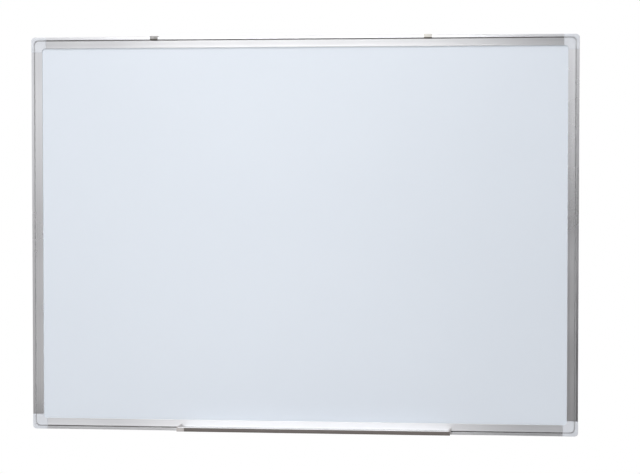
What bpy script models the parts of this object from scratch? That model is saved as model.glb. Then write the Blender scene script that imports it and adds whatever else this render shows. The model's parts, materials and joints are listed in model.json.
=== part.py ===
"""A wall-hung whiteboard with a framed panel, a sliding pen tray and two sliding hangers.

The board faces -Y, +X is to its right as seen from the front and +Z is up. The origin is the centre of the
rear face of the backing sheet. All sizes are in metres.
"""

import math

import bmesh
import bpy
from mathutils import Matrix, Vector

# Whole board
BOARD_WIDTH = 1.200
BOARD_HEIGHT = 0.865

# Fits
CLEARANCE = 0.0003  # between pieces that touch
PANEL_PLAY = 0.0005  # between the panel's edges and the bottom of the rails' channel
CUT_OVERRUN = 0.0010  # how far a cutter stands past what it cuts
WELD_SHARE = 0.01  # of the clearance, the distance within which points are welded

# Panel
SHEET_THICKNESS = 0.0004
CORE_THICKNESS = 0.0115
BACKING_THICKNESS = 0.0003
PANEL_CORNER_RADIUS = 0.0020

# Rail section, seen along the rail: u runs inward from the outer edge, v backward from the front
RAIL_FACE_WIDTH = 0.0245
RAIL_WALL = 0.0014
SCREWED_WALL = 0.0017
RAIL_LIP_DEPTH = 0.0030
STRIP_WIDTH = 0.0062
STRIP_THICKNESS = 0.0014
STRIP_DROP = 0.0002  # by which the strip falls towards the outer edge
GROOVE_WIDTH = 0.0024
GROOVE_DEPTH = 0.0033
GROOVE_UNDERCUT = 0.0022
OUTER_EDGE_RADIUS = 0.0013
FINE_EDGE_RADIUS = 0.0004
INNER_EDGE_RADIUS = 0.0008
REAR_EDGE_RADIUS = 0.0008
CHAMBER_FILLET = 0.0006
FACE_OUTER_DROP = 0.0002
FACE_MIDDLE_DROP = 0.0010
FACE_INNER_DROP = 0.0012
FACE_BEND_SHARE = 0.40
FACE_BEND_RADIUS = 0.1000
REAR_FLANGE_WIDTH = 0.0205

# Moulded corners
CORNER_LEG = 0.0330
CORNER_OUTER_RADIUS = 0.0080
CORNER_GROOVE_RADIUS = 0.0095
CORNER_INNER_RADIUS = 0.0065
CORNER_CHANNEL_RADIUS = 0.0010
CORNER_GROOVE_DEPTH = 0.0025
CORNER_WALL = 0.0022
CORNER_POCKET_FLOOR = 0.0092
CORNER_RIB_THICKNESS = 0.0012
CORNER_RIB_DROP = 0.0010  # from the frame's rear to the ribs' edges
CORNER_RIB_PLACE = 0.0155  # from the corner's outer edges to its cross ribs
CORNER_RIB_SINK = 0.0005  # how far a rib runs into the walls that it joins
TONGUE_LENGTH = 0.0260
TONGUE_ROOT = 0.0100
TONGUE_CHAMFER = 0.0008

# Corner screws
SCREW_HEAD_RADIUS = 0.0027
SCREW_HEAD_HEIGHT = 0.0014
SCREW_HEAD_RIM = 0.0004
SCREW_SHANK_RADIUS = 0.0013
SCREW_LENGTH = 0.0080
SCREW_TIP = 0.0015
SCREW_FROM_JOINT = 0.0130
SCREW_RECESS_SPAN = 0.0028
SCREW_RECESS_WIDTH = 0.0007
SCREW_RECESS_DEPTH = 0.0009
SCREW_HOLE_SPARE = 0.0010

# Pen tray, seen along it: forward from the frame's front and up from the frame's lower edge
TRAY_LENGTH = 0.5940
TRAY_DEPTH = 0.0520
TRAY_OFFSET = 0.0298
TRAY_WALL = 0.0015
TRAY_HOOK_THICKNESS = 0.0012
TRAY_LEG_LIFT = 0.0010
TRAY_LIP_TOP = 0.0148
TRAY_BEAD_HEIGHT = 0.0016
TRAY_BEAD_RADIUS = 0.0007
TRAY_FLOOR_FILLET = 0.0030
TRIM_THICKNESS = 0.0014
TRIM_RETURN = 0.0080
TRIM_CORNER_RADIUS = 0.0020
TRIM_TOP_SETBACK = 0.0006
TRIM_BEND_HEIGHT = 0.0092
TRIM_BEND_RADIUS = 0.0200
CAP_PLATE = 0.0025
CAP_FRONT_WIDTH = 0.0160
CAP_RIM_LENGTH = 0.0060
CAP_RIM_THICKNESS = 0.0012
CAP_FACE_GAP = 0.0006
CAP_TOP_RADIUS = 0.0012
CAP_TAB_INSET = 0.0025
CAP_RIB_COUNT = 3
CAP_RIB_WIDTH = 0.0009
CAP_RIB_DEPTH = 0.0004

# Hangers
HANGER_WIDTH = 0.0170
HANGER_THICKNESS = 0.0013
HANGER_BEND_RADIUS = 0.0012
HANGER_REAR_LENGTH = 0.0240
HANGER_CORNER_RADIUS = 0.0035
HANGER_HOOK_REACH = 0.0014
HANGER_HOLE_DROP = 0.0130
HANGER_HOLE_RADIUS = 0.0021
HANGER_SINK_RADIUS = 0.0034
HANGER_LEFT_X = -0.3252
HANGER_RIGHT_X = 0.2754

# Fineness of round forms
QUARTER_STEPS = 5
CORNER_SWEEP_STEPS = 12
SCREW_STEPS = 14
SCREW_DOME_STEPS = 3
HOLE_STEPS = 20
SMOOTH_ANGLE = math.radians(35)
ROUND_PROFILE_SHARE = 0.5  # the bevel profile of a circular arc

# Values that follow from the sizes above
PANEL_THICKNESS = SHEET_THICKNESS + CORE_THICKNESS + BACKING_THICKNESS + 2 * CLEARANCE
FRAME_DEPTH = RAIL_LIP_DEPTH + PANEL_THICKNESS + 2 * CLEARANCE + RAIL_WALL
FRAME_REAR_Y = CLEARANCE + RAIL_WALL
FRAME_FRONT_Y = FRAME_REAR_Y - FRAME_DEPTH
GROOVE_END = STRIP_WIDTH + GROOVE_WIDTH
CHANNEL_START = GROOVE_END + RAIL_WALL
CHAMBER_FRONT = GROOVE_DEPTH + RAIL_WALL
CHAMBER_REAR = FRAME_DEPTH - SCREWED_WALL
REAR_FLANGE_FRONT = FRAME_DEPTH - RAIL_WALL

QUARTER_TURN = math.pi / 2


def clear_scene():
    for obj in list(bpy.data.objects):
        bpy.data.objects.remove(obj, do_unlink=True)


def new_collection(name):
    collection = bpy.data.collections.new(name)
    bpy.context.scene.collection.children.link(collection)
    return collection


def new_material(name, color, roughness, metallic=0.0):
    material = bpy.data.materials.new(name)
    material.use_nodes = True
    shader = material.node_tree.nodes["Principled BSDF"]
    shader.inputs["Base Color"].default_value = (*color, 1.0)
    shader.inputs["Roughness"].default_value = roughness
    shader.inputs["Metallic"].default_value = metallic
    return material


def rounded_outline(corners):
    """Points of a closed outline whose corners are (x, y, radius), with each round corner as an arc."""
    points = []
    count = len(corners)
    for index, (x, y, radius) in enumerate(corners):
        corner = Vector((x, y))
        if radius == 0:
            points.append(corner)
            continue
        before = Vector(corners[index - 1][:2]) - corner
        after = Vector(corners[(index + 1) % count][:2]) - corner
        before.normalize()
        after.normalize()
        half = before.angle(after) / 2
        middle = corner + (before + after).normalized() * radius / math.sin(half)
        start = corner + before * radius / math.tan(half) - middle
        turn = start.angle_signed(corner + after * radius / math.tan(half) - middle)
        steps = max(1, round(QUARTER_STEPS * abs(turn) / QUARTER_TURN))
        for step in range(steps + 1):
            points.append(middle + Matrix.Rotation(-turn * step / steps, 2) @ start)
    return points


def extruded_mesh(name, outlines, length):
    """A mesh from flat outlines, the first one outside and the others holes, centred along local Z."""
    curve = bpy.data.curves.new(name, "CURVE")
    curve.dimensions = "2D"
    curve.fill_mode = "BOTH"
    curve.extrude = length / 2
    for outline in outlines:
        spline = curve.splines.new("POLY")
        spline.points.add(len(outline) - 1)
        for point, (x, y) in zip(spline.points, outline):
            point.co = (x, y, 0, 1)
        spline.use_cyclic_u = True
    holder = bpy.data.objects.new(name, curve)
    bpy.context.scene.collection.objects.link(holder)
    mesh = evaluated_mesh(holder)
    bpy.data.objects.remove(holder)
    bpy.data.curves.remove(curve)
    return mesh


def evaluated_mesh(obj):
    """A new mesh of the object with its modifiers applied and its seams welded."""
    bpy.context.view_layer.update()
    graph = bpy.context.evaluated_depsgraph_get()
    mesh = bpy.data.meshes.new_from_object(obj.evaluated_get(graph))
    work = bmesh.new()
    work.from_mesh(mesh)
    bmesh.ops.remove_doubles(work, verts=work.verts, dist=CLEARANCE * WELD_SHARE)
    bmesh.ops.recalc_face_normals(work, faces=work.faces)
    work.to_mesh(mesh)
    work.free()
    return mesh


def box_mesh(name, low, high, chamfer=0.0):
    """A box between two corners, with chamfered edges if asked."""
    work = bmesh.new()
    bmesh.ops.create_cube(work, size=1)
    low, high = Vector(low), Vector(high)
    scale = Matrix.Diagonal((*(high - low), 1))
    bmesh.ops.transform(work, matrix=Matrix.Translation((low + high) / 2) @ scale, verts=work.verts)
    if chamfer:
        bmesh.ops.bevel(work, geom=work.edges, offset=chamfer, segments=1, affect="EDGES")
    mesh = bpy.data.meshes.new(name)
    work.to_mesh(mesh)
    work.free()
    return mesh


def round_mesh(name, start, direction, length, radius, far_radius=None):
    """A cylinder or cone from a start point along a direction."""
    work = bmesh.new()
    far_radius = radius if far_radius is None else far_radius
    bmesh.ops.create_cone(
        work, cap_ends=True, segments=HOLE_STEPS, radius1=radius, radius2=far_radius, depth=length
    )
    turn = Vector(direction).to_track_quat("Z", "Y").to_matrix().to_4x4()
    middle = Vector(start) + Vector(direction) * length / 2
    bmesh.ops.transform(work, matrix=Matrix.Translation(middle) @ turn, verts=work.verts)
    mesh = bpy.data.meshes.new(name)
    work.to_mesh(mesh)
    work.free()
    return mesh


def place(name, mesh, material, collection, parent=None):
    """Puts a mesh into the model as a named piece with its own material."""
    obj = bpy.data.objects.new(name, mesh)
    collection.objects.link(obj)
    obj.parent = parent
    if material.name not in mesh.materials:
        mesh.materials.clear()
        mesh.materials.append(material)
    return obj


def smooth(mesh):
    mesh.shade_smooth()
    mesh.set_sharp_from_angle(angle=SMOOTH_ANGLE)


def add_boolean(obj, tool_mesh, operation, cutters, matrix=None):
    """Cuts a helper mesh from the object, or joins it on. The helper stays in the cutters' collection."""
    helper = bpy.data.objects.new(f"{tool_mesh.name}_helper", tool_mesh)
    cutters.objects.link(helper)
    helper.hide_render = True
    helper.display_type = "WIRE"
    if matrix is not None:
        helper.matrix_world = matrix
    modifier = obj.modifiers.new(helper.name, "BOOLEAN")
    modifier.operation = operation
    modifier.solver = "EXACT"
    modifier.object = helper


def side_matrix(quarter, outward_x, outward_z):
    """Turns a form made for the left or the top left round the board by quarter turns about Y."""
    return Matrix.Translation((outward_x, FRAME_FRONT_Y, outward_z)) @ Matrix.Rotation(
        quarter * QUARTER_TURN, 4, "Y"
    )


def front_corners(groove_depth, undercut):
    """The front of the frame's section as (u, v, radius), from the outer edge to the panel's channel."""
    bend_u = GROOVE_END + (RAIL_FACE_WIDTH - GROOVE_END) * FACE_BEND_SHARE
    groove = [(STRIP_WIDTH, groove_depth, 0), (GROOVE_END, groove_depth, 0)]
    if undercut:
        groove = [
            (STRIP_WIDTH, STRIP_THICKNESS, 0),
            (STRIP_WIDTH - undercut, STRIP_THICKNESS, 0),
            (STRIP_WIDTH - undercut, groove_depth, 0),
            (GROOVE_END, groove_depth, 0),
        ]
    return [
        (0, STRIP_DROP, OUTER_EDGE_RADIUS),
        (STRIP_WIDTH, 0, FINE_EDGE_RADIUS),
        *groove,
        (GROOVE_END, FACE_OUTER_DROP, FINE_EDGE_RADIUS),
        (bend_u, FACE_MIDDLE_DROP, FACE_BEND_RADIUS),
        (RAIL_FACE_WIDTH, FACE_INNER_DROP, INNER_EDGE_RADIUS),
        (RAIL_FACE_WIDTH, RAIL_LIP_DEPTH, 0),
        (CHANNEL_START, RAIL_LIP_DEPTH, 0),
        (CHANNEL_START, REAR_FLANGE_FRONT, 0),
        (REAR_FLANGE_WIDTH, REAR_FLANGE_FRONT, 0),
        (REAR_FLANGE_WIDTH, FRAME_DEPTH, 0),
    ]


def rail_mesh(name, length):
    """An extruded rail along local Z, with u along X and v along Y."""
    front = front_corners(GROOVE_DEPTH, GROOVE_UNDERCUT)
    outline = rounded_outline([*front, (0, FRAME_DEPTH, REAR_EDGE_RADIUS)])
    chamber = rounded_outline(
        [
            (RAIL_WALL, CHAMBER_FRONT, CHAMBER_FILLET),
            (GROOVE_END, CHAMBER_FRONT, CHAMBER_FILLET),
            (GROOVE_END, CHAMBER_REAR, CHAMBER_FILLET),
            (RAIL_WALL, CHAMBER_REAR, CHAMBER_FILLET),
        ]
    )
    return extruded_mesh(name, [outline, chamber], length)


def screw_places():
    """Where the screws of a top left corner go: the leg's direction and the point on the frame's rear."""
    middle = (RAIL_WALL + GROOVE_END) / 2
    along = CORNER_LEG + SCREW_FROM_JOINT
    return [Vector((along, FRAME_DEPTH, -middle)), Vector((middle, FRAME_DEPTH, -along))]


def screw_hole_mesh(name, point, depth, radius):
    start = point + Vector((0, CUT_OVERRUN, 0))
    return round_mesh(name, start, (0, -1, 0), depth + CUT_OVERRUN, radius)


def make_rails(aluminium, model, cutters):
    """Four rails, turned round the board from the left one, each cut for a screw near both of its ends."""
    spare = 2 * (CORNER_LEG + CLEARANCE)
    sides = [
        ("rail_left", 0, BOARD_HEIGHT, -BOARD_WIDTH / 2, 0),
        ("rail_top", 1, BOARD_WIDTH, 0, BOARD_HEIGHT / 2),
        ("rail_right", 2, BOARD_HEIGHT, BOARD_WIDTH / 2, 0),
        ("rail_bottom", 3, BOARD_WIDTH, 0, -BOARD_HEIGHT / 2),
    ]
    middle = (RAIL_WALL + GROOVE_END) / 2
    for name, quarter, side_length, x, z in sides:
        rail = place(name, rail_mesh(name, side_length - spare), aluminium, model)
        rail.matrix_world = side_matrix(quarter, x, z)
        for end in (-1, 1):
            reach = end * (side_length / 2 - CORNER_LEG - SCREW_FROM_JOINT)
            hole = screw_hole_mesh(
                f"{name}_screw_hole",
                Vector((middle, FRAME_DEPTH, reach)),
                SCREWED_WALL + CLEARANCE,
                SCREW_SHANK_RADIUS + CLEARANCE,
            )
            add_boolean(rail, hole, "DIFFERENCE", cutters, rail.matrix_world)
        smooth(rail.data)


def share_along(value, stops):
    """The value at a place along a list of (place, value) stops, straight between them."""
    for (low, at_low), (high, at_high) in zip(stops, stops[1:]):
        if value <= high:
            return at_low + (at_high - at_low) * (value - low) / (high - low)
    return stops[-1][1]


def turn_radius(u, v):
    """The radius at which a point of the corner's section turns from one leg into the other."""
    in_front = v < RAIL_LIP_DEPTH - CLEARANCE or u > REAR_FLANGE_WIDTH + CLEARANCE
    if in_front:
        return share_along(
            u,
            [
                (0, CORNER_OUTER_RADIUS),
                (STRIP_WIDTH, CORNER_GROOVE_RADIUS),
                (GROOVE_END, CORNER_GROOVE_RADIUS),
                (RAIL_FACE_WIDTH, CORNER_INNER_RADIUS),
            ],
        )
    return share_along(
        u,
        [
            (0, CORNER_OUTER_RADIUS),
            (CORNER_WALL, CORNER_OUTER_RADIUS - CORNER_WALL),
            (CHANNEL_START - CORNER_WALL, CORNER_CHANNEL_RADIUS),
            (RAIL_FACE_WIDTH, CORNER_CHANNEL_RADIUS),
        ],
    )


def corner_station(outline, step):
    """The section's points at one step of the sweep: a leg's end, the turn in equal steps, the other end."""
    points = []
    for u, v in outline:
        radius = turn_radius(u, v)
        centre = u + radius
        if step == 0:
            x, z = CORNER_LEG, u
        elif step == CORNER_SWEEP_STEPS + 2:
            x, z = u, CORNER_LEG
        else:
            angle = QUARTER_TURN * (step - 1) / CORNER_SWEEP_STEPS
            x = centre - radius * math.sin(angle)
            z = centre - radius * math.cos(angle)
        points.append((x, v, -z))
    return points


def corner_shell_mesh():
    """The moulded corner without its tongues: the frame's section lofted round, open behind as a pocket."""
    pocket_end = CHANNEL_START - CORNER_WALL
    outline = rounded_outline(
        [
            *front_corners(CORNER_GROOVE_DEPTH, 0),
            (pocket_end, FRAME_DEPTH, 0),
            (pocket_end, CORNER_POCKET_FLOOR, 0),
            (CORNER_WALL, CORNER_POCKET_FLOOR, 0),
            (CORNER_WALL, FRAME_DEPTH, 0),
            (0, FRAME_DEPTH, REAR_EDGE_RADIUS),
        ]
    )
    work = bmesh.new()
    rings = []
    for step in range(CORNER_SWEEP_STEPS + 3):
        rings.append([work.verts.new(point) for point in corner_station(outline, step)])
    count = len(outline)
    for ring, following in zip(rings, rings[1:]):
        for index in range(count):
            after = (index + 1) % count
            work.faces.new((ring[index], ring[after], following[after], following[index]))
    work.faces.new(rings[0])
    work.faces.new(rings[-1])
    bmesh.ops.recalc_face_normals(work, faces=work.faces)
    mesh = bpy.data.meshes.new("corner_shell")
    work.to_mesh(mesh)
    work.free()
    return mesh


def tongue_mesh(along_x):
    """A tongue that runs from inside a leg's pocket into the chamber of the rail beside it."""
    start, end = CORNER_LEG - TONGUE_ROOT, CORNER_LEG + TONGUE_LENGTH
    u_low, u_high = RAIL_WALL + CLEARANCE, GROOVE_END - CLEARANCE
    v_low, v_high = CHAMBER_FRONT + CLEARANCE, CHAMBER_REAR - CLEARANCE
    if along_x:
        return box_mesh("tongue_x", (start, v_low, -u_high), (end, v_high, -u_low), TONGUE_CHAMFER)
    return box_mesh("tongue_z", (u_low, v_low, -end), (u_high, v_high, -start), TONGUE_CHAMFER)


def rib_meshes():
    """Three ribs in the corner's pocket: one across each leg and one along the diagonal."""
    low_u, high_u = CORNER_WALL - CORNER_RIB_SINK, CHANNEL_START - CORNER_WALL + CORNER_RIB_SINK
    low_v, high_v = CORNER_POCKET_FLOOR - CORNER_RIB_SINK, FRAME_DEPTH - CORNER_RIB_DROP
    half = CORNER_RIB_THICKNESS / 2
    near, far = CORNER_RIB_PLACE - half, CORNER_RIB_PLACE + half
    across_x = box_mesh("rib_x", (near, low_v, -high_u), (far, high_v, -low_u))
    across_z = box_mesh("rib_z", (low_u, low_v, -far), (high_u, high_v, -near))
    # The diagonal rib starts in the turn of the outer wall and ends in the pocket's inner corner.
    start = CORNER_OUTER_RADIUS * math.sqrt(2) - CORNER_OUTER_RADIUS + low_u
    diagonal = box_mesh("rib_diagonal", (start, low_v, -half), (high_u * math.sqrt(2), high_v, half))
    diagonal.transform(Matrix.Rotation(QUARTER_TURN / 2, 4, "Y"))
    return [across_x, across_z, diagonal]


def corner_places():
    """Each corner's name, its quarter turns from the top left, and its outermost point."""
    half_x, half_z = BOARD_WIDTH / 2, BOARD_HEIGHT / 2
    return [
        ("corner_top_left", 0, -half_x, half_z),
        ("corner_top_right", 1, half_x, half_z),
        ("corner_bottom_right", 2, half_x, -half_z),
        ("corner_bottom_left", 3, -half_x, -half_z),
    ]


def make_corners(plastic, model, cutters):
    """Four alike corners, made once at the top left and turned round the board."""
    master = place("corner", corner_shell_mesh(), plastic, model)
    for along_x in (True, False):
        add_boolean(master, tongue_mesh(along_x), "UNION", cutters)
    for rib in rib_meshes():
        add_boolean(master, rib, "UNION", cutters)
    for point in screw_places():
        depth = SCREW_LENGTH + SCREW_HOLE_SPARE
        hole = screw_hole_mesh("corner_pilot", point, depth, SCREW_SHANK_RADIUS + CLEARANCE)
        add_boolean(master, hole, "DIFFERENCE", cutters)
    mesh = evaluated_mesh(master)
    smooth(mesh)
    bpy.data.objects.remove(master)
    for name, quarter, x, z in corner_places():
        corner = place(name, mesh, plastic, model)
        corner.matrix_world = side_matrix(quarter, x, z)


def screw_mesh(cutters, model, steel):
    """A pan-head screw along local Y, its head's underside at the origin, with a cross recess."""
    dome = []
    for step in range(SCREW_DOME_STEPS + 1):
        angle = QUARTER_TURN * step / SCREW_DOME_STEPS
        rise = (SCREW_HEAD_HEIGHT - SCREW_HEAD_RIM) * math.cos(angle)
        dome.append((SCREW_HEAD_RADIUS * math.sin(angle), SCREW_HEAD_RIM + rise))
    profile = [
        *dome,
        (SCREW_HEAD_RADIUS, 0),
        (SCREW_SHANK_RADIUS, 0),
        (SCREW_SHANK_RADIUS, SCREW_TIP - SCREW_LENGTH),
        (0, -SCREW_LENGTH),
    ]
    work = bmesh.new()
    points = [work.verts.new((radius, height, 0)) for radius, height in profile]
    for first, second in zip(points, points[1:]):
        work.edges.new((first, second))
    mesh = bpy.data.meshes.new("screw_profile")
    work.to_mesh(mesh)
    work.free()
    turned = place("screw_blank", mesh, steel, model)
    screw = turned.modifiers.new("turn", "SCREW")
    screw.axis = "Y"
    screw.steps = screw.render_steps = SCREW_STEPS
    screw.use_merge_vertices = True
    screw.merge_threshold = CLEARANCE * WELD_SHARE
    half_span, half_width = SCREW_RECESS_SPAN / 2, SCREW_RECESS_WIDTH / 2
    bottom, top = SCREW_HEAD_HEIGHT - SCREW_RECESS_DEPTH, SCREW_HEAD_HEIGHT + CUT_OVERRUN
    for x, z in ((half_span, half_width), (half_width, half_span)):
        slot = box_mesh("screw_recess", (-x, bottom, -z), (x, top, z))
        add_boolean(turned, slot, "DIFFERENCE", cutters)
    finished = evaluated_mesh(turned)
    finished.name = "corner_screw"
    smooth(finished)
    bpy.data.objects.remove(turned)
    return finished


def make_screws(steel, model, cutters):
    """Two screws behind each corner, numbered round the board from the top left."""
    mesh = screw_mesh(cutters, model, steel)
    number = 0
    for _, quarter, x, z in corner_places():
        for point in screw_places():
            number += 1
            screw = place(f"corner_screw_{number:02d}", mesh, steel, model)
            seat = point + Vector((0, CLEARANCE, 0))
            screw.matrix_world = side_matrix(quarter, x, z) @ Matrix.Translation(seat)


def panel_layer(name, rear_y, thickness, material, model):
    """One layer of the panel, whose edges sit in the rails' channel."""
    half_x = BOARD_WIDTH / 2 - CHANNEL_START - PANEL_PLAY
    half_z = BOARD_HEIGHT / 2 - CHANNEL_START - PANEL_PLAY
    radius = PANEL_CORNER_RADIUS
    outline = rounded_outline(
        [
            (-half_x, -half_z, radius),
            (half_x, -half_z, radius),
            (half_x, half_z, radius),
            (-half_x, half_z, radius),
        ]
    )
    layer = place(name, extruded_mesh(name, [outline], thickness), material, model)
    layer.location = (0, rear_y - thickness / 2, 0)
    layer.rotation_euler = (QUARTER_TURN, 0, 0)


def make_panel(lacquer, core, zinc, model):
    panel_layer("backing_sheet", 0, BACKING_THICKNESS, zinc, model)
    core_rear = -BACKING_THICKNESS - CLEARANCE
    panel_layer("core_panel", core_rear, CORE_THICKNESS, core, model)
    panel_layer("writing_sheet", core_rear - CORE_THICKNESS - CLEARANCE, SHEET_THICKNESS, lacquer, model)


def tray_levels():
    """Heights over the frame's lower edge: the floor's underside and top, and the lip trim's low edge."""
    floor_low = STRIP_WIDTH + CLEARANCE
    floor_top = floor_low + TRAY_WALL
    trim_low = floor_low - CLEARANCE - TRIM_THICKNESS
    return floor_low, floor_top, trim_low


def tray_outline():
    """The tray's section: a hook behind the rail's strip, a leg before it, the floor and the beaded lip."""
    floor_low, floor_top, _ = tray_levels()
    hook_front = -STRIP_THICKNESS - CLEARANCE
    hook_back = hook_front - TRAY_HOOK_THICKNESS
    hook_low = STRIP_WIDTH - GROOVE_UNDERCUT + CLEARANCE
    lip_front = TRAY_DEPTH - TRIM_THICKNESS - CLEARANCE
    lip_back = lip_front - TRAY_WALL
    bead_front = TRAY_DEPTH - CLEARANCE
    bead_low = TRAY_LIP_TOP - TRAY_BEAD_HEIGHT
    edge = FINE_EDGE_RADIUS
    return rounded_outline(
        [
            (hook_back, hook_low, edge),
            (hook_front, hook_low, edge),
            (hook_front, floor_low, 0),
            (CLEARANCE, floor_low, 0),
            (CLEARANCE, TRAY_LEG_LIFT, edge),
            (CLEARANCE + TRAY_WALL, TRAY_LEG_LIFT, edge),
            (CLEARANCE + TRAY_WALL, floor_low, edge),
            (lip_front, floor_low, TRAY_WALL),
            (lip_front, bead_low, 0),
            (bead_front, bead_low, edge),
            (bead_front, TRAY_LIP_TOP, TRAY_BEAD_RADIUS),
            (lip_back, TRAY_LIP_TOP, TRAY_BEAD_RADIUS),
            (lip_back, floor_top, TRAY_FLOOR_FILLET),
            (hook_back, floor_top, edge),
        ]
    )


def trim_outline():
    """The dark trim's section: a front that leans back under the bead, and a return under the floor."""
    floor_low, _, trim_low = tray_levels()
    top = TRAY_LIP_TOP - TRAY_BEAD_HEIGHT - CLEARANCE
    back = TRAY_DEPTH - TRIM_THICKNESS
    under = floor_low - CLEARANCE
    edge = FINE_EDGE_RADIUS
    return rounded_outline(
        [
            (TRAY_DEPTH - TRIM_RETURN, trim_low, edge),
            (TRAY_DEPTH, trim_low, TRIM_CORNER_RADIUS),
            (TRAY_DEPTH, TRIM_BEND_HEIGHT, TRIM_BEND_RADIUS),
            (TRAY_DEPTH - TRIM_TOP_SETBACK, top, edge),
            (back, top, 0),
            (back, under, 0),
            (TRAY_DEPTH - TRIM_RETURN, under, edge),
        ]
    )


def tray_piece_mesh(name, outline, low_x, high_x):
    """A mesh from a section given as (forward, up), running along X between two places."""
    mesh = extruded_mesh(name, [outline], high_x - low_x)
    # Local X is forward, local Y is up and local Z runs along the tray towards -X.
    turn = Matrix(((0, 0, -1, 0), (-1, 0, 0, 0), (0, 1, 0, 0), (0, 0, 0, 1)))
    mesh.transform(Matrix.Translation(((low_x + high_x) / 2, 0, 0)) @ turn)
    return mesh


def tray_box(name, low_x, high_x, near, far, low, high):
    """A box in the tray's frame, given along X, forward from the frame's front, and up."""
    return box_mesh(name, (low_x, -far, low), (high_x, -near, high))


def cap_plate_outline(beside_trim):
    """An end cap's closing plate, beside the trim or else behind it and reaching over it."""
    floor_low, _, trim_low = tray_levels()
    if beside_trim:
        front = TRAY_DEPTH
        low_front = [(front, trim_low, TRIM_CORNER_RADIUS)]
    else:
        behind_trim = TRAY_DEPTH - TRIM_THICKNESS - CLEARANCE
        notch = TRAY_DEPTH - TRIM_RETURN - CLEARANCE
        front = TRAY_DEPTH - CLEARANCE
        over_trim = TRAY_LIP_TOP - TRAY_BEAD_HEIGHT
        low_front = [
            (notch, trim_low, 0),
            (notch, floor_low, 0),
            (behind_trim, floor_low, 0),
            (behind_trim, over_trim, 0),
            (front, over_trim, 0),
        ]
    return rounded_outline(
        [
            (CAP_FACE_GAP, trim_low, FINE_EDGE_RADIUS),
            *low_front,
            (front, TRAY_LIP_TOP, CAP_TOP_RADIUS),
            (CAP_FACE_GAP, TRAY_LIP_TOP, FINE_EDGE_RADIUS),
        ]
    )


def make_cap(name, side, cap_plastic, model, cutters, parent):
    """An end cap: a plate on the tray's end with a rim over the floor and a tab under it."""
    floor_low, floor_top, trim_low = tray_levels()
    outer = TRAY_LENGTH / 2
    inner = outer - CAP_PLATE
    span = (inner, outer) if side > 0 else (-outer, -inner)
    cap = place(name, tray_piece_mesh(name, cap_plate_outline(side < 0), *span), cap_plastic, model, parent)
    root = outer - CAP_PLATE / 2
    tip = inner - CAP_RIM_LENGTH
    reach = (tip, root) if side > 0 else (-root, -tip)
    lip_back = TRAY_DEPTH - TRIM_THICKNESS - CLEARANCE - TRAY_WALL
    over = floor_top + CLEARANCE
    rim_front = lip_back - TRAY_FLOOR_FILLET
    rim = tray_box(f"{name}_rim", *reach, CAP_TAB_INSET, rim_front, over, over + CAP_RIM_THICKNESS)
    tab_front = TRAY_DEPTH - TRIM_RETURN - CAP_TAB_INSET
    tab_near = CLEARANCE + TRAY_WALL + CAP_TAB_INSET
    tab = tray_box(f"{name}_tab", *reach, tab_near, tab_front, trim_low, floor_low - CLEARANCE)
    for piece in (rim, tab):
        add_boolean(cap, piece, "UNION", cutters, parent.matrix_world)
    return cap


def make_left_cap_front(cap, cutters, parent):
    """The left cap's front, which takes the trim's place, with shallow upright grooves for the fingers."""
    low = -TRAY_LENGTH / 2
    front = tray_piece_mesh("cap_front", trim_outline(), low + CAP_PLATE / 2, low + CAP_FRONT_WIDTH)
    add_boolean(cap, front, "UNION", cutters, parent.matrix_world)
    pitch = CAP_FRONT_WIDTH / (CAP_RIB_COUNT + 1)
    for index in range(1, CAP_RIB_COUNT + 1):
        middle = low + index * pitch
        cut = tray_box(
            "cap_groove",
            middle - CAP_RIB_WIDTH / 2,
            middle + CAP_RIB_WIDTH / 2,
            TRAY_DEPTH - CAP_RIB_DEPTH,
            TRAY_DEPTH + CUT_OVERRUN,
            -CUT_OVERRUN,
            TRAY_LIP_TOP + CUT_OVERRUN,
        )
        add_boolean(cap, cut, "DIFFERENCE", cutters, parent.matrix_world)


def make_tray(aluminium, dark_plastic, cap_plastic, model, cutters):
    """The tray on its own empty, which lies on the line that the tray slides along."""
    slide = bpy.data.objects.new("tray_slide", None)
    model.objects.link(slide)
    slide.location = (TRAY_OFFSET, FRAME_FRONT_Y, -BOARD_HEIGHT / 2)
    bpy.context.view_layer.update()
    half = TRAY_LENGTH / 2
    channel_half = half - CAP_PLATE - CLEARANCE
    channel = tray_piece_mesh("tray_channel", tray_outline(), -channel_half, channel_half)
    smooth(channel)
    place("tray_channel", channel, aluminium, model, slide)
    trim = tray_piece_mesh("tray_front_trim", trim_outline(), CAP_FRONT_WIDTH + CLEARANCE - half, half)
    smooth(trim)
    place("tray_front_trim", trim, dark_plastic, model, slide)
    left = make_cap("tray_end_cap_left", -1, cap_plastic, model, cutters, slide)
    make_left_cap_front(left, cutters, slide)
    make_cap("tray_end_cap_right", 1, cap_plastic, model, cutters, slide)


def hanger_path():
    """The middle of the hanger's bent strip as (up, back) from the frame's upper front edge."""
    half = HANGER_THICKNESS / 2
    away = CLEARANCE + half
    hook_v = STRIP_THICKNESS + away
    hook_u = STRIP_WIDTH + away
    rear_v = FRAME_DEPTH + away
    return [
        (-(STRIP_WIDTH - HANGER_HOOK_REACH), hook_v),
        (-hook_u, hook_v),
        (-hook_u, -away),
        (away, -away),
        (away, rear_v),
        (-HANGER_REAR_LENGTH, rear_v),
    ]


def bent_path(points, radius):
    """An open path with each inner corner turned into an arc."""
    result = [Vector(points[0])]
    for before, corner, after in zip(points, points[1:], points[2:]):
        corner = Vector(corner)
        arrive = (Vector(before) - corner).normalized()
        leave = (Vector(after) - corner).normalized()
        middle = corner + (arrive + leave) * radius
        start = corner + arrive * radius - middle
        turn = start.angle_signed(corner + leave * radius - middle)
        for step in range(QUARTER_STEPS):
            share = step / (QUARTER_STEPS - 1)
            result.append(middle + Matrix.Rotation(-turn * share, 2) @ start)
    result.append(Vector(points[-1]))
    return result


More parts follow.
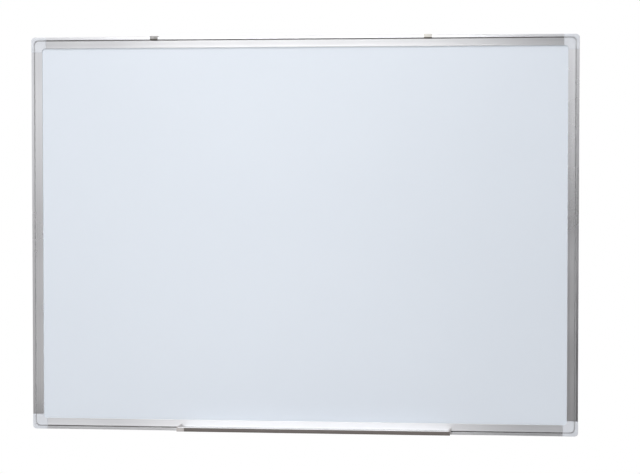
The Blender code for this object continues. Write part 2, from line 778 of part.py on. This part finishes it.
def hanger_mesh(name):
    """The hanger's open surface: a strip along the bent path, with its rear plate's corners rounded."""
    work = bmesh.new()
    rows = []
    for up, back in bent_path(hanger_path(), HANGER_BEND_RADIUS):
        rows.append([work.verts.new((side * HANGER_WIDTH / 2, back, up)) for side in (-1, 1)])
    for first, second in zip(rows, rows[1:]):
        work.faces.new((first[0], first[1], second[1], second[0]))
    ends = rows[-1]
    bmesh.ops.bevel(
        work,
        geom=ends,
        offset=HANGER_CORNER_RADIUS,
        segments=QUARTER_STEPS,
        profile=ROUND_PROFILE_SHARE,
        affect="VERTICES",
    )
    mesh = bpy.data.meshes.new(name)
    work.to_mesh(mesh)
    work.free()
    return mesh


def make_hanger(name, x, steel, model, cutters):
    """A bent steel strip hooked behind the top rail's strip, with a countersunk hole in its rear plate."""
    hanger = place(name, hanger_mesh(name), steel, model)
    hanger.location = (x, FRAME_FRONT_Y, BOARD_HEIGHT / 2)
    bpy.context.view_layer.update()
    shell = hanger.modifiers.new("sheet", "SOLIDIFY")
    shell.thickness = HANGER_THICKNESS
    shell.offset = 0
    shell.use_even_offset = True
    grow = (HANGER_SINK_RADIUS - HANGER_HOLE_RADIUS) / HANGER_THICKNESS * CUT_OVERRUN
    hole = round_mesh(
        f"{name}_hole",
        (0, FRAME_DEPTH + CLEARANCE - CUT_OVERRUN, -HANGER_HOLE_DROP),
        (0, 1, 0),
        HANGER_THICKNESS + 2 * CUT_OVERRUN,
        HANGER_SINK_RADIUS + grow,
        HANGER_HOLE_RADIUS - grow,
    )
    add_boolean(hanger, hole, "DIFFERENCE", cutters, hanger.matrix_world)
    finished = evaluated_mesh(hanger)
    smooth(finished)
    hanger.modifiers.clear()
    hanger.data = finished


def main():
    clear_scene()
    model = new_collection("whiteboard")
    cutters = new_collection("cutters")
    aluminium = new_material("anodised_aluminium", (0.78, 0.78, 0.79), 0.32, 1.0)
    plastic = new_material("light_grey_plastic", (0.70, 0.72, 0.77), 0.48)
    cap_plastic = new_material("warm_grey_plastic", (0.53, 0.50, 0.49), 0.48)
    dark_plastic = new_material("dark_trim_plastic", (0.13, 0.11, 0.10), 0.42)
    lacquer = new_material("white_lacquer", (0.74, 0.79, 0.86), 0.34)
    core = new_material("core_board", (0.72, 0.65, 0.52), 0.85)
    zinc = new_material("galvanised_sheet", (0.62, 0.64, 0.66), 0.42, 1.0)
    steel = new_material("zinc_plated_steel", (0.58, 0.57, 0.54), 0.35, 1.0)
    make_panel(lacquer, core, zinc, model)
    make_rails(aluminium, model, cutters)
    make_corners(plastic, model, cutters)
    make_screws(steel, model, cutters)
    make_tray(aluminium, dark_plastic, cap_plastic, model, cutters)
    make_hanger("hanger_left", HANGER_LEFT_X, steel, model, cutters)
    make_hanger("hanger_right", HANGER_RIGHT_X, steel, model, cutters)


main()
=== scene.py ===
"""Looks of a wall-hung whiteboard: materials, light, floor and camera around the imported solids.

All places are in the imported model's frame: metres, +X to the right, +Z up, the writing surface faces -Y.
"""

import json
import math

import bpy
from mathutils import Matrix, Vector


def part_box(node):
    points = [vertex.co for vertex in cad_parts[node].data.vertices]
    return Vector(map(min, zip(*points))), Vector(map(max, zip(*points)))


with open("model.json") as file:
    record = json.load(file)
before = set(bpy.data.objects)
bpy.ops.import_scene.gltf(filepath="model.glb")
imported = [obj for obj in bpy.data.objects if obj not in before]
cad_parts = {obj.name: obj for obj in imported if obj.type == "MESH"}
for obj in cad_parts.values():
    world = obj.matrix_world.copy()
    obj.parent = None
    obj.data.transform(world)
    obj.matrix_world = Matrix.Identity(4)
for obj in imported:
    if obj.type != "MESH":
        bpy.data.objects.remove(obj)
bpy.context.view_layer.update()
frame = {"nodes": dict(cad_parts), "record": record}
rail_low, rail_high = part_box("rail_top")

# Camera, solved from the four corners of the frame in the photograph
CAMERA_PLACE = (0.5376, -4.3369, 0.1476)
CAMERA_LEVEL = math.radians(90)
CAMERA_YAW = 0.1144
CAMERA_PITCH = -0.0350
CAMERA_SENSOR = 36.0
CAMERA_LENS = 112.5

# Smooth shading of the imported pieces
SMOOTH_ANGLE = math.radians(35)
WELD_DISTANCE = 0.000005

# Ranges: rising, falling, and what a noise mostly keeps within
WHOLE = (0.0, 1.0)
FALLING = (1.0, 0.0)
NOISE_REACH = (0.3, 0.7)

# In the materials, tones are a low and a high colour, a gloss is a range of roughness, a finish is a
# roughness and an anisotropy, a stretch is by axis, or along an extrusion and across it, noise is a scale,
# a detail and at times a roughness, and bump is a strength and a depth in metres

# Lacquer of the writing sheet
LACQUER_TONES = ((0.715, 0.765, 0.835), (0.735, 0.785, 0.855))
LACQUER_ROUGHNESS = 0.34
LACQUER_GLOSS = (0.32, 0.38)
CLOUDY_NOISE = (1.6, 3)
PEEL_NOISE = (620, 2)
PEEL_BUMP = (0.06, 0.0002)
FINE_PEEL_NOISE = (2400, 1)
FINE_PEEL_BUMP = (0.03, 0.00005)
WIPE_STRETCH = (5, 1, 46)
WIPE_TURN = (0, math.radians(14), 0)
WIPE_NOISE = (1, 4, 0.6)

# Aluminium of the rails and the tray
ALUMINIUM_TONES = ((0.700, 0.705, 0.720), (0.800, 0.800, 0.810))
LEVEL_FINISH = (0.34, 0.8)
UPRIGHT_FINISH = (0.29, 0.6)
TRAY_TONES = ((0.870, 0.875, 0.885), (0.920, 0.920, 0.925))
TRAY_FINISH = (0.34, 0.7)
TRAY_METAL = 0.5
LINE_STRETCH = (3, 3600)
LINE_NOISE = (1, 3, 0.6)
LINE_BUMP = (0.18, 0.00003)
BAND_STRETCH = (0.9, 420)
BAND_NOISE = (1, 2)
BAND_BUMP = (0.10, 0.00006)
LINE_SHARE = 0.5
HAZE_NOISE = (9, 3)
HAZE_ROUGHNESS = 0.03

# Floors of the grooves: colours, depths behind the frame's front, and the normal's Y under which a
# surface faces the front. The colours are painted shade, dark in the level rails' grooves and grey in
# the corners' groove, and painted light in the uprights' grooves, where light from above runs along
# them; on the rails the painted floor is not metallic
GROOVE_PAINTED_SHADE = (0.15, 0.14, 0.135)
GROOVE_PAINTED_LIGHT = (0.50, 0.50, 0.51)
CORNER_GROOVE_PAINTED_SHADE = (0.50, 0.50, 0.51)
RAIL_GROOVE_DEPTH = 0.0033
CORNER_GROOVE_DEPTH = 0.0025
GROOVE_PLAY = 0.0002
GROOVE_FACING = -0.9
GROOVE_NOISE = (35, 3)
GROOVE_COVER = (0.8, 1.0)

# Moulded plastic of the corners and of the tray's ends
CORNER_TONES = ((0.665, 0.685, 0.730), (0.695, 0.715, 0.755))
CAP_TONES = ((0.515, 0.485, 0.475), (0.545, 0.515, 0.505))
PLASTIC_ROUGHNESS = 0.48
PLASTIC_GLOSS = (0.44, 0.53)
PLASTIC_TONE_NOISE = (60, 3)
PLASTIC_NOISE = (2600, 2, 0.6)
PLASTIC_BUMP = (0.14, 0.00008)

# Extruded plastic of the tray's trim
TRIM_TONES = ((0.110, 0.095, 0.085), (0.145, 0.125, 0.115))
TRIM_ROUGHNESS = 0.42
TRIM_GLOSS = (0.38, 0.48)
TRIM_STRETCH = (4, 1500, 1500)
TRIM_LINE_NOISE = (1, 3, 0.6)
TRIM_LINE_BUMP = (0.2, 0.00004)
TRIM_GRAIN_NOISE = (1900, 2)
TRIM_GRAIN_BUMP = (0.08, 0.00004)

# Galvanised backing sheet
GALVANISED_TONES = ((0.56, 0.58, 0.60), (0.66, 0.68, 0.70))
GALVANISED_ROUGHNESS = 0.42
GALVANISED_GLOSS = (0.34, 0.50)
SPANGLE_SCALE = 120.0
SPANGLE_BUMP = (0.05, 0.0002)
WOBBLE_NOISE = (90, 2)
WOBBLE_REACH = 0.004

# Zinc plating of the hangers and the screws, and a darker copy for the left hanger that is painted shade
ZINC_TONES = ((0.50, 0.485, 0.445), (0.66, 0.64, 0.59))
SHADED_ZINC_TONES = ((0.26, 0.25, 0.24), (0.38, 0.37, 0.36))
ZINC_ROUGHNESS = 0.34
ZINC_GLOSS = (0.28, 0.42)
TARNISH_NOISE = (130, 4)
ROLLED_STRETCH = (2600, 40, 40)
ROLLED_NOISE = (1, 3, 0.6)
ROLLED_BUMP = (0.15, 0.00004)

# Painted shade low on the hangers' fronts, where they turn down into the groove: its colour, how far
# under the frame's top it is full and ends, and the normal's Y that it stays under, which keeps it off
# the rear plates and the screws' heads
HANGER_PAINTED_SHADE = (0.10, 0.09, 0.075)
HANGER_SHADE_DROPS = (0.0063, 0.0043)
HANGER_FACING = 0.2

# Fibre of the core
CORE_TONES = ((0.62, 0.55, 0.42), (0.74, 0.67, 0.54))
CORE_ROUGHNESS = 0.85
FIBRE_STRETCH = (260, 1200, 260)
FIBRE_NOISE = (1, 4, 0.65)
FIBRE_BUMP = (0.4, 0.0003)

# Floor
FLOOR_LEVEL = -1.35
FLOOR_SIDES = (-4.5, 4.5)
FLOOR_FRONT_BACK = (-1.0, 4.5)
FLOOR_COLOR = (0.78, 0.78, 0.78)
FLOOR_ROUGHNESS = 0.9
FLOOR_GLOW = 0.55
WHITE = (1.0, 1.0, 1.0)

# World: its strength as a light, and the room in front of the board that only reflections see. Each level
# changes over a range of the direction's X, or of its Z, and the edge is a range of its -Y
WORLD_FILL = 0.50
FRONT_SIDE = -1.0
ROOM_EDGE = (0.20, 0.60)
ROOM_SIDE = (-0.45, -0.03)
ROOM_SIDE_LEVELS = (0.33, 0.0)
ROOM_RISE = (-0.08, 0.19)
ROOM_RISE_LEVELS = (0.0, 1.24)
ROOM_TOP = (0.18, 0.42)
ROOM_TOP_LEVELS = (1.0, 0.6)
ROOM_LOW = (-0.40, -0.20)
ROOM_LOW_LEVELS = (0.15, 0.0)

# Tint of that room: warm where it is dark, cool at a level and a share of the way to white
ROOM_WARM = (1.0, 0.925, 0.90)
ROOM_COOL = (0.955, 0.97, 1.0)
ROOM_COOL_LEVEL = 0.90
ROOM_COOL_SHARE = 0.8

# Area lights: place, target, size, power, and the rays that don't see the light. Those that diffuse rays
# don't see only show as reflections, and the others light the surfaces and leave no highlight
LIGHTS = {
    "key": ((-0.30, -2.05, 1.42), (-0.05, 0.0, 0.05), (1.2, 0.6), 13.4, "diffuse"),
    "front": ((-0.45, -2.4, 0.18), (-0.05, 0.0, 0.0), (1.0, 0.8), 14.6, "glossy"),
    "ceiling": ((-0.45, -2.0, 4.0), (-0.05, 0.0, 0.0), (2.0, 1.2), 100.0, "glossy"),
    "side": ((-0.66, -0.5, -0.05), (-0.60, 0.0, -0.05), (0.20, 0.82), 0.145, "diffuse"),
    "top": ((-0.09, -1.0, 0.42), (-0.05, 0.0, 0.42), (1.00, 0.60), 0.80, "diffuse"),
    "low": ((-0.13, -1.0, -0.36), (-0.05, 0.0, -0.36), (0.84, 0.50), 0.85, "diffuse"),
    "back": ((0.6, 3.2, 2.2), (0.0, 0.0, 0.0), (2.4, 1.6), 42.0, "glossy"),
}


class Nodes:
    """A node tree, and short ways to add and link its nodes."""

    def __init__(self, tree):
        self.tree = tree

    def give(self, socket, value):
        """Links another node's output to a socket, or sets a plain value on it."""
        if isinstance(value, bpy.types.NodeSocket):
            self.tree.links.new(value, socket)
        else:
            socket.default_value = value

    def add(self, kind, inputs=None, **settings):
        """A new node with its settings, and its inputs by name or by number."""
        node = self.tree.nodes.new(kind)
        for name, value in settings.items():
            setattr(node, name, value)
        for name, value in (inputs or {}).items():
            self.give(node.inputs[name], value)
        return node

    def calculate(self, operation, *values):
        return self.add("ShaderNodeMath", dict(enumerate(values)), operation=operation).outputs[0]

    def multiply(self, *values):
        result = values[0]
        for value in values[1:]:
            result = self.calculate("MULTIPLY", result, value)
        return result

    def between(self, value, levels=WHOLE, reach=NOISE_REACH, way="LINEAR"):
        """Goes from one level to another as the value goes over its reach."""
        low, high = reach
        first, last = levels
        inputs = {"Value": value, "From Min": low, "From Max": high, "To Min": first, "To Max": last}
        return self.add("ShaderNodeMapRange", inputs, interpolation_type=way).outputs["Result"]

    def fade(self, value, levels, reach=WHOLE):
        """The same as between, with a soft start and end."""
        return self.between(value, levels, reach, "SMOOTHSTEP")


class Surface(Nodes):
    """The nodes of a material with one Principled shader."""

    def __init__(self, name, roughness, metallic=0.0):
        self.material = bpy.data.materials.new(name)
        self.material.use_nodes = True
        super().__init__(self.material.node_tree)
        self.shader = self.tree.nodes["Principled BSDF"]
        self.finish("Roughness", roughness)
        self.finish("Metallic", metallic)

    def finish(self, name, value):
        """Gives the shader one of its inputs."""
        self.give(self.shader.inputs[name], value)

    def place(self, scale=(1, 1, 1), turn=(0, 0, 0)):
        """The piece's own coordinates in metres, turned and stretched."""
        source = self.add("ShaderNodeTexCoord")
        inputs = {"Vector": source.outputs["Object"], "Scale": scale, "Rotation": turn}
        return self.add("ShaderNodeMapping", inputs).outputs["Vector"]

    def noise(self, vector, scale, detail, roughness=0.5, output="Fac"):
        inputs = {"Vector": vector, "Scale": scale, "Detail": detail, "Roughness": roughness}
        return self.add("ShaderNodeTexNoise", inputs).outputs[output]

    def blend(self, share, tones):
        """A colour between two tones."""
        ramp = self.add("ShaderNodeValToRGB", {"Fac": share})
        for stop, tone in zip(ramp.color_ramp.elements, tones):
            stop.color = (*tone, 1)
        return ramp.outputs["Color"]

    def cover(self, share, color, other):
        """One colour covered by another to a share from 0 to 1."""
        inputs = {"Fac": share, "Color1": color, "Color2": (*other, 1)}
        return self.add("ShaderNodeMixRGB", inputs).outputs["Color"]

    def facing(self, limit):
        """1 where the true normal's Y is under a limit, and 0 elsewhere."""
        geometry = self.add("ShaderNodeNewGeometry")
        normal = self.add("ShaderNodeSeparateXYZ", {0: geometry.outputs["True Normal"]})
        return self.calculate("LESS_THAN", normal.outputs["Y"], limit)

    def groove_floor(self, depth):
        """Near 1 on surfaces that face the front at a depth behind the frame's front, and 0 elsewhere."""
        here = self.place()
        spot = self.add("ShaderNodeSeparateXYZ", {0: here})
        deep = self.calculate("COMPARE", spot.outputs["Y"], rail_low.y + depth, GROOVE_PLAY)
        # The painted shade or light covers the floor a little unevenly
        patchiness = self.between(self.noise(here, *GROOVE_NOISE), GROOVE_COVER)
        return self.multiply(deep, self.facing(GROOVE_FACING), patchiness)

    def bump(self, *layers):
        """Layers of relief, each a height, a strength and a depth in metres."""
        normal = None
        for height, strength, depth in layers:
            inputs = {"Height": height, "Strength": strength, "Distance": depth}
            if normal is not None:
                inputs["Normal"] = normal
            normal = self.add("ShaderNodeBump", inputs).outputs["Normal"]
        self.finish("Normal", normal)


def lacquer():
    """Smooth bluish white lacquer on steel, with a faint orange peel and the traces of dry wiping."""
    surface = Surface("white_lacquer", LACQUER_ROUGHNESS)
    here = surface.place()
    peel = surface.noise(here, *PEEL_NOISE)
    fine_peel = surface.noise(here, *FINE_PEEL_NOISE)
    wiped = surface.noise(surface.place(WIPE_STRETCH, WIPE_TURN), *WIPE_NOISE)
    tone = surface.between(surface.noise(here, *CLOUDY_NOISE))
    surface.finish("Base Color", surface.blend(tone, LACQUER_TONES))
    surface.finish("Roughness", surface.between(wiped, LACQUER_GLOSS))
    surface.bump((peel, *PEEL_BUMP), (fine_peel, *FINE_PEEL_BUMP))
    return surface.material


def aluminium(name, along, finish, tones=ALUMINIUM_TONES, metallic=1.0, groove=None):
    """Satin anodised aluminium, drawn into fine lines along one axis, with a groove floor painted as shade
    or as light if asked.
    """
    roughness, anisotropy = finish
    surface = Surface(name, roughness, metallic)
    surface.finish("Anisotropic", anisotropy)
    geometry = surface.add("ShaderNodeNewGeometry")
    lines_run = tuple(float(axis == along) for axis in "XYZ")
    inputs = {0: geometry.outputs["Normal"], 1: lines_run}
    across = surface.add("ShaderNodeVectorMath", inputs, operation="CROSS_PRODUCT")
    surface.finish("Tangent", across.outputs["Vector"])

    def drawn(stretch):
        """The piece's coordinates, stretched differently along the extrusion and across it."""
        slow, fast = stretch
        return surface.place(tuple(slow if axis == along else fast for axis in "XYZ"))

    lines = surface.noise(drawn(LINE_STRETCH), *LINE_NOISE)
    bands = surface.noise(drawn(BAND_STRETCH), *BAND_NOISE)
    haze = surface.noise(surface.place(), *HAZE_NOISE)
    tone = surface.multiply(surface.calculate("ADD", lines, bands), LINE_SHARE)
    color = surface.blend(surface.between(tone), tones)
    if groove:
        # Painted shade or painted light on the groove floor, which stops being metallic there
        groove_paint = surface.groove_floor(RAIL_GROOVE_DEPTH)
        color = surface.cover(groove_paint, color, groove)
        surface.finish("Metallic", surface.between(groove_paint, FALLING, WHOLE))
    surface.finish("Base Color", color)
    gloss = (roughness - HAZE_ROUGHNESS, roughness + HAZE_ROUGHNESS)
    surface.finish("Roughness", surface.between(haze, gloss))
    surface.bump((lines, *LINE_BUMP), (bands, *BAND_BUMP))
    return surface.material


def moulded_plastic(name, tones, groove_shade_tone=None):
    """Moulded plastic with a fine even grain, and painted shade in the corners' groove if asked."""
    surface = Surface(name, PLASTIC_ROUGHNESS)
    here = surface.place()
    grain = surface.noise(here, *PLASTIC_NOISE)
    tone = surface.between(surface.noise(here, *PLASTIC_TONE_NOISE))
    color = surface.blend(tone, tones)
    if groove_shade_tone:
        # Painted shade on the floor of the corners' groove
        color = surface.cover(surface.groove_floor(CORNER_GROOVE_DEPTH), color, groove_shade_tone)
    surface.finish("Base Color", color)
    surface.finish("Roughness", surface.between(grain, PLASTIC_GLOSS))
    surface.bump((grain, *PLASTIC_BUMP))
    return surface.material


def trim_plastic():
    """Dark extruded plastic with faint lengthwise lines."""
    surface = Surface("dark_trim_plastic", TRIM_ROUGHNESS)
    lines = surface.noise(surface.place(TRIM_STRETCH), *TRIM_LINE_NOISE)
    grain = surface.noise(surface.place(), *TRIM_GRAIN_NOISE)
    surface.finish("Base Color", surface.blend(surface.between(lines), TRIM_TONES))
    surface.finish("Roughness", surface.between(grain, TRIM_GLOSS))
    surface.bump((lines, *TRIM_LINE_BUMP), (grain, *TRIM_GRAIN_BUMP))
    return surface.material


def galvanised():
    """Hot-dip galvanised sheet with its crystal spangle, whose edges wobble."""
    surface = Surface("galvanised_sheet", GALVANISED_ROUGHNESS, metallic=1.0)
    here = surface.place()
    wobble = surface.noise(here, *WOBBLE_NOISE, output="Color")
    shift = surface.add("ShaderNodeVectorMath", {0: wobble, "Scale": WOBBLE_REACH}, operation="SCALE")
    moved = surface.add("ShaderNodeVectorMath", {0: here, 1: shift.outputs["Vector"]}, operation="ADD")
    inputs = {"Vector": moved.outputs["Vector"], "Scale": SPANGLE_SCALE}
    crystals = surface.add("ShaderNodeTexVoronoi", inputs)
    tone = surface.add("ShaderNodeSeparateColor", {"Color": crystals.outputs["Color"]})
    surface.finish("Base Color", surface.blend(tone.outputs["Red"], GALVANISED_TONES))
    surface.finish("Roughness", surface.between(tone.outputs["Green"], GALVANISED_GLOSS, WHOLE))
    surface.bump((crystals.outputs["Distance"], *SPANGLE_BUMP))
    return surface.material


def plated_steel(name, tones):
    """Zinc-plated steel with rolling marks, a faint tarnish and painted shade low on the hangers' fronts.
    """
    surface = Surface(name, ZINC_ROUGHNESS, metallic=1.0)
    rolled = surface.noise(surface.place(ROLLED_STRETCH), *ROLLED_NOISE)
    here = surface.place()
    tarnish = surface.between(surface.noise(here, *TARNISH_NOISE))
    # Painted shade: the fronts go dark below a height under the frame's top
    spot = surface.add("ShaderNodeSeparateXYZ", {0: here})
    heights = [rail_high.z - drop for drop in HANGER_SHADE_DROPS]
    shaded_low = surface.between(spot.outputs["Z"], FALLING, heights)
    hanger_shade = surface.multiply(shaded_low, surface.facing(HANGER_FACING))
    surface.finish("Base Color", surface.cover(hanger_shade, surface.blend(tarnish, tones), HANGER_PAINTED_SHADE))
    surface.finish("Roughness", surface.between(rolled, ZINC_GLOSS))
    surface.bump((rolled, *ROLLED_BUMP))
    return surface.material


def core_board():
    """Pale pressed fibre, which shows only if the panel is taken apart."""
    surface = Surface("core_board", CORE_ROUGHNESS)
    fibres = surface.noise(surface.place(FIBRE_STRETCH), *FIBRE_NOISE)
    surface.finish("Base Color", surface.blend(surface.between(fibres), CORE_TONES))
    surface.bump((fibres, *FIBRE_BUMP))
    return surface.material


def smooth_group():
    """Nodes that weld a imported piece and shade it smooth, but for its sharp edges."""
    group = bpy.data.node_groups.new("smooth_by_angle", "GeometryNodeTree")
    for end in ("INPUT", "OUTPUT"):
        group.interface.new_socket("Geometry", in_out=end, socket_type="NodeSocketGeometry")
    steps = Nodes(group)
    start = steps.add("NodeGroupInput")
    inputs = {"Geometry": start.outputs[0], "Distance": WELD_DISTANCE}
    weld = steps.add("GeometryNodeMergeByDistance", inputs)
    inputs = {"Geometry": weld.outputs["Geometry"], "Name": "custom_normal"}
    plain = steps.add("GeometryNodeRemoveAttribute", inputs)
    smooth = steps.add("GeometryNodeSetShadeSmooth", {"Geometry": plain.outputs["Geometry"]})
    angle = steps.add("GeometryNodeInputMeshEdgeAngle")
    inputs = {"A": angle.outputs["Unsigned Angle"], "B": SMOOTH_ANGLE}
    sharp = steps.add("FunctionNodeCompare", inputs, operation="GREATER_THAN")
    inputs = {"Geometry": smooth.outputs["Geometry"], "Selection": sharp.outputs["Result"]}
    edges = steps.add("GeometryNodeSetShadeSmooth", inputs, domain="EDGE")
    edges.inputs["Shade Smooth"].default_value = False
    steps.add("NodeGroupOutput", {0: edges.outputs["Geometry"]})
    return group


def dress_nodes():
    """Gives every node its material and smooth shading."""
    # The uprights' grooves get painted light
    upright = aluminium("anodised_aluminium_upright", "Z", UPRIGHT_FINISH, groove=GROOVE_PAINTED_LIGHT)
    tray = aluminium("anodised_aluminium_tray", "X", TRAY_FINISH, TRAY_TONES, TRAY_METAL)
    # The left hanger gets a darker copy of the zinc as painted shade
    shaded_zinc = plated_steel("zinc_plated_steel_shaded", SHADED_ZINC_TONES)
    own = {"rail_left": upright, "rail_right": upright, "tray_channel": tray, "hanger_left": shaded_zinc}
    looks = {
        "white_lacquer": lacquer(),
        "core_board": core_board(),
        "galvanised_sheet": galvanised(),
        # The level rails' grooves get painted shade
        "anodised_aluminium": aluminium("anodised_aluminium", "X", LEVEL_FINISH, groove=GROOVE_PAINTED_SHADE),
        # The corners' groove gets painted shade
        "light_grey_plastic": moulded_plastic("light_grey_plastic", CORNER_TONES, CORNER_GROOVE_PAINTED_SHADE),
        "warm_grey_plastic": moulded_plastic("warm_grey_plastic", CAP_TONES),
        "dark_trim_plastic": trim_plastic(),
        "zinc_plated_steel": plated_steel("zinc_plated_steel", ZINC_TONES),
    }
    slots = {row["node"]: row["material_slot"] for row in frame["record"]["subparts"]}
    group = smooth_group()
    for name, node in frame["nodes"].items():
        node.material_slots[0].material = own.get(name, looks[slots[name]])
        node.modifiers.new("smooth", "NODES").node_group = group
        node.modifiers.new("flat_faces", "WEIGHTED_NORMAL").keep_sharp = True


def put_in_scene(name, data):
    """A new object of the scene."""
    made = bpy.data.objects.new(name, data)
    bpy.context.scene.collection.objects.link(made)
    return made


def make_camera():
    camera = put_in_scene("camera", bpy.data.cameras.new("camera"))
    camera.data.sensor_width = CAMERA_SENSOR
    camera.data.lens = CAMERA_LENS
    camera.location = CAMERA_PLACE
    camera.rotation_euler = (CAMERA_LEVEL + CAMERA_PITCH, 0, CAMERA_YAW)
    bpy.context.scene.camera = camera


def make_floor():
    """A pale floor under the board, white where the camera sees it unshaded."""
    mesh = bpy.data.meshes.new("floor")
    left, right = FLOOR_SIDES
    near, far = FLOOR_FRONT_BACK
    outline = [(left, near), (right, near), (right, far), (left, far)]
    corners = [(x, y, FLOOR_LEVEL) for x, y in outline]
    mesh.from_pydata(corners, [], [range(len(corners))])
    floor = put_in_scene("floor", mesh)
    surface = Surface("floor", FLOOR_ROUGHNESS)
    surface.finish("Base Color", (*FLOOR_COLOR, 1))
    surface.finish("Emission Color", (*WHITE, 1))
    path = surface.add("ShaderNodeLightPath")
    surface.finish("Emission Strength", surface.multiply(path.outputs["Is Camera Ray"], FLOOR_GLOW))
    mesh.materials.append(surface.material)


def make_world():
    """White to the camera, a dimmer tinted room in front to reflections, and an even fill as a light."""
    world = bpy.data.worlds.new("studio")
    bpy.context.scene.world = world
    world.use_nodes = True
    studio = Nodes(world.node_tree)
    background = studio.tree.nodes["Background"]
    source = studio.add("ShaderNodeTexCoord")
    direction = studio.add("ShaderNodeSeparateXYZ", {0: source.outputs["Generated"]})
    path = studio.add("ShaderNodeLightPath")
    side = studio.fade(direction.outputs["X"], ROOM_SIDE_LEVELS, ROOM_SIDE)
    rise = studio.fade(direction.outputs["Z"], ROOM_RISE_LEVELS, ROOM_RISE)
    top = studio.fade(direction.outputs["Z"], ROOM_TOP_LEVELS, ROOM_TOP)
    low = studio.fade(direction.outputs["Z"], ROOM_LOW_LEVELS, ROOM_LOW)
    room = studio.calculate("ADD", studio.calculate("ADD", side, low), studio.multiply(rise, top))
    ahead = studio.multiply(direction.outputs["Y"], FRONT_SIDE)
    reflected = studio.fade(ahead, (1.0, room), ROOM_EDGE)
    lit = studio.fade(path.outputs["Is Glossy Ray"], (WORLD_FILL, reflected))
    seen = studio.calculate("MAXIMUM", path.outputs["Is Camera Ray"], path.outputs["Is Transmission Ray"])
    studio.give(background.inputs["Strength"], studio.fade(seen, (lit, 1.0)))
    room_tone = studio.fade(room, (0.0, ROOM_COOL_SHARE), (0.0, ROOM_COOL_LEVEL))
    reflected_tone = studio.fade(ahead, (1.0, room_tone), ROOM_EDGE)
    tone = studio.fade(path.outputs["Is Glossy Ray"], (1.0, reflected_tone))
    tint = studio.add("ShaderNodeValToRGB", {"Fac": tone})
    tint.color_ramp.elements[0].color = (*ROOM_WARM, 1)
    tint.color_ramp.elements[1].color = (*WHITE, 1)
    tint.color_ramp.elements.new(ROOM_COOL_SHARE).color = (*ROOM_COOL, 1)
    studio.give(background.inputs["Color"], tint.outputs["Color"])


def area_light(name, place, target, size, power, unseen):
    """A rectangular light that the camera and one other kind of ray don't see."""
    light = put_in_scene(name, bpy.data.lights.new(name, "AREA"))
    light.data.shape = "RECTANGLE"
    light.data.size, light.data.size_y = size
    light.data.energy = power
    light.location = place
    light.rotation_euler = (Vector(target) - light.location).to_track_quat("-Z", "Y").to_euler()
    light.visible_camera = False
    setattr(light, f"visible_{unseen}", False)


def main():
    dress_nodes()
    make_camera()
    make_floor()
    make_world()
    for name, settings in LIGHTS.items():
        area_light(name, *settings)
    bpy.context.scene.view_settings.view_transform = "Standard"


main()
